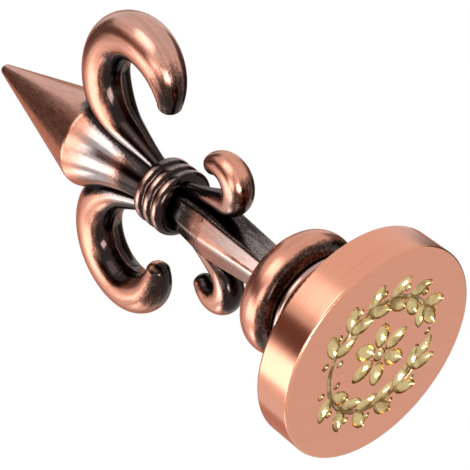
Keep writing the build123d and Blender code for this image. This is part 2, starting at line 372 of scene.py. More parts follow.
def add_node(tree, kind, inputs=None, stops=None, **settings):
    """Adds a node, sets it, and links or sets its inputs; stops fill a colour ramp."""
    node = tree.nodes.new(kind)
    for name, value in settings.items():
        setattr(node, name, value)
    for key, value in (inputs or {}).items():
        if isinstance(value, bpy.types.NodeSocket):
            tree.links.new(value, node.inputs[key])
        else:
            node.inputs[key].default_value = value
    if stops:
        ramp = node.color_ramp.elements
        while len(ramp) < len(stops):
            ramp.new(1.0)
        for element, (position, value) in zip(ramp, stops):
            element.position = position
            element.color = value
    return node


def new_material(name):
    """An empty node material of that name, its node tree and its output node."""
    material = bpy.data.materials.new(name)
    material.use_nodes = True
    material.node_tree.nodes.clear()
    return material, material.node_tree, material.node_tree.nodes.new("ShaderNodeOutputMaterial")


def per_mm(size):
    """Noise scale on Object coordinates, which are metres, for features of a size in millimetres."""
    return 1 / (size * MM)


def antique_copper():
    """Zinc casting, copper plated, blackened, then polished back on a wheel and lacquered. The eye sees
    warm satin copper on what stands proud, glossy black in the recesses, and a ragged, streaked edge
    between. Part of the black it reads is painted shade, and its grey film is partly painted sheen and
    highlight."""
    known = bpy.data.materials.get("antique_copper_polished_back")
    if known:
        return known
    colours = bpy.context.scene.stamp_colours
    material, tree, output = new_material("antique_copper_polished_back")
    # Relief carries patina and painted shade; film carries a grey film and painted sheen
    relief = add_node(tree, "ShaderNodeAttribute", attribute_name="relief")
    film = add_node(tree, "ShaderNodeAttribute", attribute_name="film")
    grain = add_node(tree, "ShaderNodeAttribute", attribute_name="grain")
    place = add_node(tree, "ShaderNodeTexCoord")
    # Wheel streaks about 0.5 mm wide, drawn out along the grain
    streak = add_node(
        tree,
        "ShaderNodeTexNoise",
        {"Vector": grain.outputs["Vector"], "Scale": 1 / 0.5, "Detail": 5.0, "Roughness": 0.7},
    )
    # Patches of blackening about 1.6 mm across, and specks of 0.35 mm, twice their real size so as to show
    patch = add_node(
        tree,
        "ShaderNodeTexNoise",
        {"Vector": place.outputs["Object"], "Scale": per_mm(1.6), "Detail": 3.0},
    )
    speck = add_node(
        tree,
        "ShaderNodeTexNoise",
        {"Vector": place.outputs["Object"], "Scale": per_mm(0.35), "Detail": 2.0, "Roughness": 0.7},
    )
    # Each of the three moves the edge between black and copper to and fro by its own swing
    broken = relief.outputs["Fac"]
    swings = []
    for pattern, swing in ((streak, 0.16), (patch, 0.08), (speck, 0.1)):
        moved = add_node(
            tree,
            "ShaderNodeMapRange",
            {
                "Value": pattern.outputs["Fac"],
                "From Min": 0.25,
                "From Max": 0.75,
                "To Min": -swing,
                "To Max": swing,
            },
        )
        swings.append(moved.outputs[0])
        added = add_node(tree, "ShaderNodeMath", {0: broken, 1: moved.outputs[0]}, operation="ADD")
        broken = added.outputs[0]
    streaked, _, specked = swings
    worn_and_shaded = add_node(tree, "ShaderNodeMapRange", {"Value": broken, "From Min": 0.16, "From Max": 0.78})
    tone = add_node(
        tree,
        "ShaderNodeValToRGB",
        {"Fac": worn_and_shaded.outputs[0]},
        [
            (0.0, colours.deep_black),
            (0.3, colours.blackened),
            (0.65, colours.half_worn),
            (1.0, colours.polished),
        ],
    )
    # The film, with its painted sheen, breaks up into streaks and specks where it ends
    film_sheen_mask = add_node(tree, "ShaderNodeMath", {0: film.outputs["Fac"], 1: streaked}, operation="ADD")
    film_sheen_mask = add_node(
        tree,
        "ShaderNodeMath",
        {0: specked, 1: 2.0, 2: film_sheen_mask.outputs[0]},
        operation="MULTIPLY_ADD",
    )
    film_sheen_mask = add_node(
        tree,
        "ShaderNodeMapRange",
        {"Value": film_sheen_mask.outputs[0], "From Min": 0.15, "From Max": 0.9},
    )
    film_sheen_mixed = add_node(
        tree,
        "ShaderNodeMix",
        {"Factor": film_sheen_mask.outputs[0], "A": tone.outputs["Color"], "B": colours.film},
        data_type="RGBA",
    )
    streak_level = add_node(
        tree,
        "ShaderNodeMapRange",
        {"Value": streak.outputs["Fac"], "From Min": 0.3, "From Max": 0.7, "To Min": 0.8, "To Max": 1.13},
    )
    varied = add_node(
        tree,
        "ShaderNodeHueSaturation",
        {"Color": film_sheen_mixed.outputs["Result"], "Value": streak_level.outputs[0]},
    )
    # Black is glossier than the copper that the wheel rubbed, and each streak differs a little
    gloss = add_node(
        tree,
        "ShaderNodeMapRange",
        {"Value": worn_and_shaded.outputs[0], "To Min": 0.16, "To Max": 0.27},
    )
    rubbed = add_node(
        tree,
        "ShaderNodeMath",
        {0: streaked, 1: 0.3, 2: gloss.outputs[0]},
        operation="MULTIPLY_ADD",
    )
    # The film, which also carries painted sheen, was never rubbed, so it is smoother than the copper beside
    # it
    rubbed = add_node(
        tree,
        "ShaderNodeMath",
        {0: film_sheen_mask.outputs[0], 1: -0.1, 2: rubbed.outputs[0]},
        operation="MULTIPLY_ADD",
    )
    # The blackening keeps its lacquer shine, which the wheel took off the copper
    lacquer = add_node(
        tree,
        "ShaderNodeMapRange",
        {"Value": worn_and_shaded.outputs[0], "To Min": 0.2, "To Max": 0.1},
    )
    # The cast skin under the plating is a few hundredths of a millimetre uneven
    bump = add_node(
        tree,
        "ShaderNodeBump",
        {"Height": streak.outputs["Fac"], "Strength": 0.18, "Distance": 0.02 * MM},
    )
    shader = add_node(
        tree,
        "ShaderNodeBsdfPrincipled",
        {
            "Base Color": varied.outputs["Color"],
            "Metallic": 1.0,
            "Roughness": rubbed.outputs[0],
            "Normal": bump.outputs["Normal"],
            "Coat Weight": lacquer.outputs[0],
            "Coat Roughness": 0.13,
        },
    )
    tree.links.new(shader.outputs["BSDF"], output.inputs["Surface"])
    return material


def brushed_copper_on_brass():
    """Turned brass, copper plated and brushed straight across, then engraved through to the brass. The eye
    sees a satin orange face with fine parallel lines, and bright yellow metal in the cuts, with painted
    shade along their edges and in patches."""
    colours = bpy.context.scene.stamp_colours
    material, tree, output = new_material("brushed_copper_on_engraved_brass")
    place = add_node(tree, "ShaderNodeTexCoord")
    part = add_node(tree, "ShaderNodeSeparateXYZ", {"Vector": place.outputs["Object"]})
    # Brush lines on the face and turning lines round the side; real ones are about a fifth as wide, too
    # fine to show
    across = add_node(
        tree,
        "ShaderNodeMapping",
        {
            "Vector": place.outputs["Object"],
            "Rotation": (0.0, 0.0, BRUSH_TURN),
            "Scale": (BRUSH_LENGTH, BRUSH_SPACING, 1.0),
        },
        vector_type="TEXTURE",
    )
    around = add_node(
        tree,
        "ShaderNodeMapping",
        {
            "Vector": place.outputs["Object"],
            "Scale": (per_mm(TURNING_LENGTH), per_mm(TURNING_LENGTH), per_mm(TURNING_SPACING)),
        },
    )
    on_face = add_node(
        tree,
        "ShaderNodeMath",
        {0: part.outputs["Z"], 1: FACE_SKIN},
        operation="LESS_THAN",
    )
    line_place = add_node(
        tree,
        "ShaderNodeMix",
        {"Factor": on_face.outputs[0], "A": around.outputs["Vector"], "B": across.outputs["Vector"]},
        data_type="VECTOR",
    )
    lines = add_node(
        tree,
        "ShaderNodeTexNoise",
        {"Vector": line_place.outputs[1], "Scale": 1.0, "Detail": 3.0, "Roughness": 0.65},
    )
    haze = add_node(
        tree,
        "ShaderNodeTexNoise",
        {"Vector": place.outputs["Object"], "Scale": per_mm(7.0), "Detail": 2.0},
    )
    # All that lies off the face but within the engraving's reach and depth is cut
    flat = add_node(
        tree,
        "ShaderNodeVectorMath",
        {0: place.outputs["Object"], 1: (1.0, 1.0, 0.0)},
        operation="MULTIPLY",
    )
    reach = add_node(tree, "ShaderNodeVectorMath", {0: flat.outputs[0]}, operation="LENGTH")
    inside = add_node(
        tree,
        "ShaderNodeMath",
        {0: reach.outputs["Value"], 1: CUT_REACH},
        operation="LESS_THAN",
    )
    shallow = add_node(tree, "ShaderNodeMath", {0: part.outputs["Z"], 1: CUT_DEPTH}, operation="LESS_THAN")
    below = add_node(tree, "ShaderNodeMath", {0: part.outputs["Z"], 1: CUT_EDGE}, operation="GREATER_THAN")
    cut = inside
    for limit in (shallow, below):
        cut = add_node(
            tree,
            "ShaderNodeMath",
            {0: cut.outputs[0], 1: limit.outputs[0]},
            operation="MULTIPLY",
        )
    # Noise patches of painted shade in the cuts
    chatter_shade = add_node(
        tree,
        "ShaderNodeTexNoise",
        {"Vector": place.outputs["Object"], "Scale": per_mm(1.5), "Detail": 1.0, "Roughness": 0.5},
    )
    copper_level = add_node(
        tree,
        "ShaderNodeMapRange",
        {"Value": lines.outputs["Fac"], "From Min": 0.3, "From Max": 0.7, "To Min": 0.92, "To Max": 1.05},
    )
    # The brushed face has lost a little of the plating's brightness, the side has all of it
    brushed_level = add_node(
        tree,
        "ShaderNodeMapRange",
        {"Value": on_face.outputs[0], "To Min": 1.06, "To Max": 0.93},
    )
    copper_level = add_node(
        tree,
        "ShaderNodeMath",
        {0: copper_level.outputs[0], 1: brushed_level.outputs[0]},
        operation="MULTIPLY",
    )
    copper = add_node(
        tree,
        "ShaderNodeHueSaturation",
        {"Color": colours.head_copper, "Value": copper_level.outputs[0]},
    )
    # The cuts get painted shade along their edges and in noise patches, standing for dark reflections in
    # the cut walls, and are brighter further down
    depth = add_node(
        tree,
        "ShaderNodeMapRange",
        {
            "Value": part.outputs["Z"],
            "From Min": CUT_EDGE,
            "From Max": CUT_BRIGHT,
            "To Min": -0.35,
            "To Max": 0.25,
        },
    )
    depth = add_node(
        tree,
        "ShaderNodeMath",
        {0: chatter_shade.outputs["Fac"], 1: 1.3, 2: depth.outputs[0]},
        operation="MULTIPLY_ADD",
    )
    brass = add_node(
        tree,
        "ShaderNodeValToRGB",
        {"Fac": depth.outputs[0]},
        [(0.45, colours.cut_painted_shade), (0.95, colours.cut_brass)],
    )
    skin = add_node(
        tree,
        "ShaderNodeMix",
        {"Factor": cut.outputs[0], "A": copper.outputs["Color"], "B": brass.outputs["Color"]},
        data_type="RGBA",
    )
    satin = add_node(
        tree,
        "ShaderNodeMapRange",
        {"Value": haze.outputs["Fac"], "From Min": 0.3, "From Max": 0.7, "To Min": 0.28, "To Max": 0.36},
    )
    # The turned side and the cutter's facets are brighter than the brushed face
    shine = add_node(
        tree,
        "ShaderNodeMapRange",
        {"Value": on_face.outputs[0], "To Min": 0.6, "To Max": 1.0},
    )
    gloss = add_node(
        tree,
        "ShaderNodeMath",
        {0: satin.outputs[0], 1: shine.outputs[0]},
        operation="MULTIPLY",
    )
    # Brush lines on the copper, and in the brass cutter marks 0.6 mm apart
    marks = add_node(
        tree,
        "ShaderNodeTexNoise",
        {"Vector": place.outputs["Object"], "Scale": per_mm(0.6), "Detail": 1.0},
    )
    marked = add_node(
        tree,
        "ShaderNodeMath",
        {0: marks.outputs["Fac"], 1: CUTTER_MARKS},
        operation="MULTIPLY",
    )
    height = add_node(
        tree,
        "ShaderNodeMix",
        {"Factor": cut.outputs[0], "A": lines.outputs["Fac"], "B": marked.outputs[0]},
    )
    bump = add_node(
        tree,
        "ShaderNodeBump",
        {"Height": height.outputs["Result"], "Strength": 0.12, "Distance": 0.02 * MM},
    )
    shader = add_node(
        tree,
        "ShaderNodeBsdfPrincipled",
        {
            "Base Color": skin.outputs["Result"],
            "Metallic": 1.0,
            "Roughness": gloss.outputs[0],
            "Normal": bump.outputs["Normal"],
        },
    )
    tree.links.new(shader.outputs["BSDF"], output.inputs["Surface"])
    return material


def zinc_plated_steel():
    """Cold-headed steel with a thin bright zinc plating: a cool grey sheen with faint spangle."""
    colours = bpy.context.scene.stamp_colours
    material, tree, output = new_material("zinc_plated_steel")
    place = add_node(tree, "ShaderNodeTexCoord")
    spangle = add_node(
        tree,
        "ShaderNodeTexNoise",
        {"Vector": place.outputs["Object"], "Scale": per_mm(0.6), "Detail": 3.0},
    )
    level = add_node(
        tree,
        "ShaderNodeMapRange",
        {"Value": spangle.outputs["Fac"], "From Min": 0.3, "From Max": 0.7, "To Min": 0.85, "To Max": 1.05},
    )
    tone = add_node(tree, "ShaderNodeHueSaturation", {"Color": colours.zinc, "Value": level.outputs[0]})
    gloss = add_node(
        tree,
        "ShaderNodeMapRange",
        {"Value": spangle.outputs["Fac"], "From Min": 0.3, "From Max": 0.7, "To Min": 0.28, "To Max": 0.42},
    )
    shader = add_node(
        tree,
        "ShaderNodeBsdfPrincipled",
        {"Base Color": tone.outputs["Color"], "Metallic": 1.0, "Roughness": gloss.outputs[0]},
    )
    tree.links.new(shader.outputs["BSDF"], output.inputs["Surface"])
    return material


def pressed_red_fibre():
    """Vulcanised fibre pressed from cotton rag: dull brick red with a fine felted mottle."""
    colours = bpy.context.scene.stamp_colours
    material, tree, output = new_material("pressed_red_fibre")
    place = add_node(tree, "ShaderNodeTexCoord")
    felt = add_node(
        tree,
        "ShaderNodeTexNoise",
        {"Vector": place.outputs["Object"], "Scale": per_mm(0.3), "Detail": 5.0, "Roughness": 0.7},
    )
    level = add_node(
        tree,
        "ShaderNodeMapRange",
        {"Value": felt.outputs["Fac"], "From Min": 0.3, "From Max": 0.7, "To Min": 0.75, "To Max": 1.15},
    )
    tone = add_node(tree, "ShaderNodeHueSaturation", {"Color": colours.fibre, "Value": level.outputs[0]})
    bump = add_node(
        tree,
        "ShaderNodeBump",
        {"Height": felt.outputs["Fac"], "Strength": 0.4, "Distance": 0.03 * MM},
    )
    shader = add_node(
        tree,
        "ShaderNodeBsdfPrincipled",
        {"Base Color": tone.outputs["Color"], "Roughness": 0.75, "Normal": bump.outputs["Normal"]},
    )
    tree.links.new(shader.outputs["BSDF"], output.inputs["Surface"])
    return material


# Horns: petals and curls

HORN_SIDES = 72
# The parting line: its height as a share of the horn's radius, the least that it was polished, and its
# place, where -1 is the inner side
HORN_RIDGE = 0.045
RIDGE_RELIEF = 0.5
RIDGE_SIDE = -0.999
# Rings of the rounded tip, and the share of a ring that its last one stays open
CAP_RINGS = 9
CAP_OPENING = 0.4
# Share of a horn's length that its grain counts, which draws the streaks out lengthwise
HORN_STREAK = 0.12


def hook_line(sizes, foot, bend, centre):
    """Centre line of a horn, from the foot to one tip radius short of its end."""
    side = -math.copysign(1.0, sizes.hook_turn)
    gap = Vector(centre) - Vector(bend)
    heading = math.atan2(gap.y, gap.x) + side * math.asin(sizes.hook_radius / gap.length)
    straight = math.sqrt(gap.length_squared - sizes.hook_radius**2)
    touch = Vector(bend) + straight * Vector((math.cos(heading), math.sin(heading)))
    start = math.atan2(touch.y - centre[1], touch.x - centre[0])
    up = math.copysign(1.0, bend[1] - foot[1])
    lean = heading - up * math.pi / 2
    cut = sizes.bend_radius * math.tan(abs(lean) / 2)
    line = Outline(*foot)
    line.run(bend[0], bend[1] - up * cut, steps=6)
    line.arc(bend[0] + sizes.bend_radius, bend[1] - up * cut, lean, steps=10)
    line.run(touch.x, touch.y, steps=40)
    line.arc(*centre, -start, steps=56)
    short = sizes.tip_girth / sizes.return_radius * math.copysign(1.0, sizes.hook_turn)
    line.arc(
        centre[0] + sizes.hook_radius - sizes.return_radius,
        centre[1],
        sizes.hook_turn + start - short,
        steps=96,
    )
    return line


def walk(line):
    """Points of an outline in order from its first one."""
    points = [line.first.co.copy()]
    last, here = None, line.first
    while True:
        onward = [edge.other_vert(here) for edge in here.link_edges if edge.other_vert(here) is not last]
        if not onward:
            return points
        last, here = here, onward[0]
        points.append(here.co.copy())


def swell(sizes, part):
    """Radius of a horn at a share of its length."""
    if part < sizes.swell_start:
        return sizes.foot_girth
    if part < sizes.swell_crest:
        rise = (part - sizes.swell_start) / (sizes.swell_crest - sizes.swell_start)
        return sizes.foot_girth + (sizes.belly_girth - sizes.foot_girth) * math.sin(math.pi / 2 * rise) ** 2
    if part < sizes.swell_fall:
        return sizes.belly_girth
    fall = (part - sizes.swell_fall) / (1 - sizes.swell_fall)
    return sizes.tip_girth + (sizes.belly_girth - sizes.tip_girth) * (1 - fall**2)


def make_horn(sizes, line, wear):
    """Sweeps a ring along the centre line by extruding and moving its edges, then rounds off the tip.
    A faint ridge on the inner side is the casting's parting line."""
    points = walk(line)
    line.bm.free()
    runs = [0.0]
    for before, after in zip(points, points[1:]):
        runs.append(runs[-1] + (after - before).length)
    total = runs[-1] + sizes.tip_girth
    outer_side = math.copysign(1.0, sizes.hook_turn)
    stations = []
    for index, point in enumerate(points):
        ahead = points[min(index + 1, len(points) - 1)]
        behind = points[max(index - 1, 0)]
        way = (ahead - behind).normalized()
        stations.append((point, way, swell(sizes, runs[index] / total), runs[index]))
    point, way, girth, run = stations[-1]
    for ring in range(1, CAP_RINGS + 1):
        turn = math.pi / 2 * ring / (CAP_RINGS + CAP_OPENING)
        reach = sizes.tip_girth * math.sin(turn)
        stations.append((point + reach * way, way, girth * math.cos(turn), run + reach))

    bm = bmesh.new()
    relief, film, lay = wear_layers(bm)
    ring = bmesh.ops.create_circle(bm, segments=HORN_SIDES, radius=1.0)["verts"]
    edges = bm.edges[:]
    bmesh.ops.contextual_create(bm, geom=edges)
    placed = Matrix.Identity(4)
    seam = []
    for point, way, girth, run in stations:
        outer = Vector((way.z, 0.0, -way.x)) * outer_side
        across = Vector((0.0, 1.0, 0.0))
        target = Matrix((outer * girth, across * girth, way * girth)).transposed().to_4x4()
        target.translation = point
        if run > 0:
            made = bmesh.ops.extrude_edge_only(bm, edges=edges)["geom"]
            ring = [item for item in made if isinstance(item, bmesh.types.BMVert)]
            fresh = set(ring)
            edges = [
                item for item in made
                if isinstance(item, bmesh.types.BMEdge) and fresh.issuperset(item.verts)
            ]
        bmesh.ops.transform(bm, matrix=target @ placed.inverted(), verts=ring)
        placed = target
        for vert in ring:
            offset = (vert.co - point) / girth
            outward, sideways = offset.dot(outer), offset.y
            vert[relief], vert[film] = wear(run / total, outward)
            round_horn = Vector((outward, sideways, 0.0)) * sizes.belly_girth
            vert[lay] = (round_horn + Vector((0.0, 0.0, run * HORN_STREAK))) / MM
            if outward < RIDGE_SIDE:
                vert[relief] = max(vert[relief], RIDGE_RELIEF)
                seam.append((vert, -outer * girth * HORN_RIDGE * ease(0.1, 0.2, run / total)))
    for vert, lift in seam:
        vert.co += lift
    bmesh.ops.contextual_create(bm, geom=edges)
    bmesh.ops.recalc_face_normals(bm, faces=bm.faces[:])
    return bm


def petal_wear(part, outward):
    """Petals: black inside the shaft and the hook, copper outside, film with painted sheen on a side of the
    shaft and on the outside of the hook, a dark tip. Outward runs from -1 on the inner side to 1 on the
    outer one, and the limit is where copper begins."""
    shaft, hook, end = ease(0.08, 0.33, part), ease(0.5, 0.62, part), ease(0.74, 0.95, part)
    limit = 0.2 - 0.83 * shaft + 0.15 * hook - 0.85 * end
    copper = 0.86 * ease(limit - 0.3, limit + 0.26, outward)
    dark_tip = 0.85 * ease(0.82, 0.94, part) * ease(-0.2, 0.5, outward)
    shaft_side = ease(-0.4, -0.1, outward) * (1 - ease(0.3, 0.7, outward))
    # Film with painted sheen on a side of the shaft and on the hook's outside
    shaft_film_and_sheen = 0.85 * (1 - ease(0.2, 0.32, part)) * shaft_side
    hook_film_and_sheen = 0.4 * ease(0.3, 0.9, outward) * ease(0.2, 0.4, part) * (1 - ease(0.8, 0.95, part))
    return copper * (1 - dark_tip), max(hook_film_and_sheen, shaft_film_and_sheen)


def curl_wear(part, outward):
    """Curls: black where they face the stem, copper on the side turned away from it, a darker tip."""
    limit = 0.2 - 0.8 * ease(0.15, 0.45, part)
    copper = 0.85 * ease(limit - 0.35, limit + 0.3, outward)
    dark_tip = 0.3 * ease(0.8, 0.95, part)
    # Film with a painted highlight along the outer side of the curl's middle
    film = 0.5 * ease(-0.5, 0.3, outward) * ease(0.2, 0.45, part) * (1 - ease(0.6, 0.8, part))
    return copper * (1 - dark_tip), film


def mirror_copy(bm):
    """A copy of a horn mirrored to the other side of the handle."""
    twin = bm.copy()
    bmesh.ops.transform(twin, matrix=Matrix.Scale(-1, 4, Vector((1.0, 0.0, 0.0))), verts=twin.verts[:])
    bmesh.ops.recalc_face_normals(twin, faces=twin.faces[:])
    return twin


class STAMP_OT_petals(bpy.types.Operator):
    """Sweep the two hooked petals and let them into the band"""

    bl_idname = "stamp.petals"
    bl_label = "Petals"

    def execute(self, context):
        sizes = context.scene.stamp_petals
        shank = context.scene.stamp_shank
        bend = (shank.shank_radius, BAND_TOP - sizes.bend_depth)
        foot = (shank.shank_radius, BAND_TOP - sizes.foot_depth)
        line = hook_line(sizes, foot, bend, (sizes.hook_place, BAND_TOP + sizes.hook_rise))
        bm = make_horn(sizes, line, petal_wear)
        shade_by_neighbours(bm, ("spear", "binding_band"), DEEP_RECESS)
        twin = mirror_copy(bm)
        finish_piece(bm, "petal_right")
        finish_piece(twin, "petal_left")
        return {"FINISHED"}


class STAMP_OT_curls(bpy.types.Operator):
    """Sweep the two small curls that hang from the band"""

    bl_idname = "stamp.curls"
    bl_label = "Curls"

    def execute(self, context):
        sizes = context.scene.stamp_curls
        shank = context.scene.stamp_shank
        bend = (shank.shank_radius, BAND_BOTTOM + sizes.bend_depth)
        foot = (shank.shank_radius, BAND_BOTTOM + sizes.foot_depth)
        line = hook_line(sizes, foot, bend, (sizes.hook_place, BAND_BOTTOM - sizes.hook_drop))
        bm = make_horn(sizes, line, curl_wear)
        shade_by_neighbours(bm, ("tail_stem", "binding_band"), RECESS)
        twin = mirror_copy(bm)
        # Painted shade: the undersides are darkened, the left curl's more than the right one's, and the
        # sides facing the stem are blackened
        for horn, side, underside_shade in ((bm, 1, 0.6), (twin, -1, 1.0)):
            horn.normal_update()
            relief = horn.verts.layers.float["relief"]
            film = horn.verts.layers.float["film"]
            for vert in horn.verts:
                away = vert.normal.x * side
                underneath_shade = ease(0.2, 0.75, -vert.normal.z - 0.5 * away)
                kept = 1 - underside_shade * underneath_shade
                vert[relief] *= (1 - ease(0.5, 0.8, -away)) * kept
                vert[film] *= kept
        finish_piece(bm, "curl_right")
        finish_piece(twin, "curl_left")
        return {"FINISHED"}


class STAMP_OT_spear(bpy.types.Operator):
    """Turn the spear: shank, hollowed flank, sharp ring, long cone and rounded tip"""

    bl_idname = "stamp.spear"
    bl_label = "Spear"

    def execute(self, context):
        shank = context.scene.stamp_shank
        ring = Vector((SPEAR_RADIUS, shank.ring_level))
        neck = Vector((shank.shank_radius, BAND_TOP))
        chord = ring - neck
        bow = (chord.length_squared / 4 + shank.flank_hollow**2) / (2 * shank.flank_hollow)
        aside = Vector((chord.y, -chord.x)).normalized()
        centre = (neck + ring) / 2 + aside * (bow - shank.flank_hollow)
        sweep = -2 * math.asin(chord.length / 2 / bow)
        tip = Vector((0.0, SPEAR_TOP - shank.spear_tip))
        slope = math.atan2(ring.x, tip.y - ring.y) - math.asin(shank.spear_tip / (tip - ring).length)
        touch = tip + shank.spear_tip * Vector((math.cos(slope), math.sin(slope)))
        line = Outline(SCREW_BORE, JOINT_LEVEL)
        line.run(shank.shank_radius, JOINT_LEVEL)
        line.run(neck.x, neck.y, steps=2)
        line.arc(centre.x, centre.y, sweep, steps=48)
        corner = line.end
        line.run(touch.x, touch.y, steps=60)
        line.arc(tip.x, tip.y, math.pi / 2 - slope, steps=12)
        bmesh.ops.bevel(
            line.bm,
            geom=[corner],
            offset=shank.ring_edge,
            affect="VERTICES",
            segments=5,
            profile=0.5,
            material=-1,
        )
        bm = line.turn()

        def wear(place, normal):
            """Black next to the band; a bright flank and ring, the flank with film and a painted highlight;
            a satin cone with film and painted sheen, less of it where it faces front and back.
            """
            if place.z * MM < shank.ring_level:
                rise = place.z - BAND_TOP / MM
                below_ring = shank.ring_level / MM - place.z
                # Film with a painted highlight on the flank
                film = ease(3.5, 8.0, rise) * ease(0.0, 4.0, below_ring)
                return ease(2.2, 7.4, rise), film
            # Film with painted sheen on the cone, less where it faces front and back
            return 0.85, 0.35 - 0.25 * ease(0.35, 0.85, abs(normal.y))

        add_wear(bm, wear, grain=(1.0, 1.0, 0.1))
        shade_by_neighbours(bm, ("petal_right", "petal_left"), DEEP_RECESS)
        finish_piece(bm, "spear")
        return {"FINISHED"}


class STAMP_OT_band(bpy.types.Operator):
    """Turn the three-beaded band round the gathered pieces"""

    bl_idname = "stamp.band"
    bl_label = "Band"

    def execute(self, context):
        shank = context.scene.stamp_shank
        ring = BAND_RADIUS - shank.bead_radius
        meet = math.acos(shank.bead_pitch / 2 / shank.bead_radius)
        level = BAND_BOTTOM + shank.bead_radius
        line = Outline(shank.shank_radius, BAND_BOTTOM)
        line.run(ring, BAND_BOTTOM)
        for bead, turn in enumerate((math.pi - meet, math.pi - 2 * meet, math.pi - meet)):
            line.arc(ring, level + bead * shank.bead_pitch, turn, steps=22)
        line.run(shank.shank_radius, BAND_TOP)
        line.close()
        bm = line.turn()

        def wear(place, normal):
            """Bright crests, partly polish and partly a painted highlight line with film just under each
            bead's widest place, brown upper sides, black in the grooves and where the horns shade it.
            """
            reach = math.hypot(place.x, place.y)
            # Crests a little below the widest place, with film, as a painted highlight line
            crest = 1 - ease(0.1, 0.4, abs(normal.z + 0.12))
            upper = 0.42 * ease(-0.3, 0.1, normal.z) * ease(4.3, 4.7, reach)
            facing = 0.4 + 0.6 * ease(0.3, 0.7, abs(place.y) / reach)
            return max(crest, upper) * facing, 0.5 * crest

        add_wear(bm, wear, grain=(0.15, 0.15, 1.0))
        shade_by_neighbours(bm, ("petal_right", "petal_left", "curl_right", "curl_left"), RECESS)
        finish_piece(bm, "binding_band")
        return {"FINISHED"}


def six_sided(bm, level, sizes):
    """A closed ring of six points: flats half a width to each side, ridges in front and at the back."""
    half_width, flat_reach, ridge = sizes
    corners = [
        (0.0, -ridge),
        (half_width, -flat_reach),
        (half_width, flat_reach),
        (0.0, ridge),
        (-half_width, flat_reach),
        (-half_width, -flat_reach),
    ]
    verts = [bm.verts.new((x, y, level)) for x, y in corners]
    return [bm.edges.new((verts[index - 1], verts[index])) for index in range(6)]


class STAMP_OT_stem(bpy.types.Operator):
    """Bridge the six-sided tail stem and rub down its edges"""

    bl_idname = "stamp.stem"
    bl_label = "Tail stem"

    def execute(self, context):
        shank = context.scene.stamp_shank
        bm = bmesh.new()
        foot = six_sided(bm, KNOB_TOP, shank.stem_foot)
        belly = six_sided(bm, shank.belly_level, shank.stem_belly)
        neck = six_sided(bm, BAND_BOTTOM, shank.stem_neck)
        root = six_sided(bm, BAND_BOTTOM + shank.root_depth, shank.stem_root)
        long_edges = []
        for low, high in ((foot, belly), (belly, neck), (neck, root)):
            for edge in bmesh.ops.bridge_loops(bm, edges=low + high)["edges"]:
                start, end = edge.verts
                if abs(start.co.z - end.co.z) > shank.root_depth / 2:
                    long_edges.append(edge)
        bmesh.ops.contextual_create(bm, geom=foot)
        bmesh.ops.contextual_create(bm, geom=root)
        bmesh.ops.bevel(
            bm,
            geom=long_edges + belly,
            offset=shank.stem_edge,
            affect="EDGES",
            segments=3,
            profile=0.5,
            material=-1,
        )
        bmesh.ops.subdivide_edges(bm, edges=bm.edges[:], cuts=9, use_grid_fill=True)
        bmesh.ops.recalc_face_normals(bm, faces=bm.faces[:])

        def wear(place, normal):
            """Copper on the flats in front and at the back, with film and painted sheen, more on the flats
            turned to -X;
            brown by the ridge; charcoal sides with a painted highlight of film near the knob.
            """
            level = place.z - KNOB_TOP / MM
            widest = (shank.belly_level - KNOB_TOP) / MM
            across, aside = abs(normal.x), abs(place.x)
            if across > 0.5:
                # Painted highlight: film on the side flats rises towards the knob
                return 0.1, 0.15 + 0.4 * (1 - ease(2.0, 10.0, level)) * ease(0.8, 0.95, across)
            narrow, wide = shank.stem_foot[0] / MM, shank.stem_belly[0] / MM
            half_width = narrow + (wide - narrow) * min(level / widest, 1.0)
            rim = ease(half_width - 0.4, half_width - 0.1, aside)
            if level > widest:
                above = level - widest
                copper = (0.7 - 0.65 * ease(0.8, 4.5, above)) * (1 - rim)
                # Painted sheen: flats turned to -X get more film than those turned to +X
                if normal.x > 0:
                    return copper, 0.3 * max(rim, ease(3.0, 5.0, above))
                return copper, 0.8 - 0.08 * above
            film = 0.75 - 0.35 * ease(widest - 5.0, widest, level)
            # Flats turned to -X are all copper, with film and painted sheen
            if normal.x < 0 or aside < 0.35:
                return 1.0, film
            outer = ease(0.5, 1.1, aside)
            copper = 0.3 + 0.6 * max(ease(2.0, widest - 1.0, level), outer)
            return copper * (1 - rim), film * outer * (1 - rim) + 0.25 * rim

        add_wear(bm, wear, grain=(1.0, 1.0, 0.12))
        shade_by_neighbours(bm, ("base_knob", "binding_band", "curl_right", "curl_left"), RECESS)
        finish_piece(bm, "tail_stem")
        return {"FINISHED"}


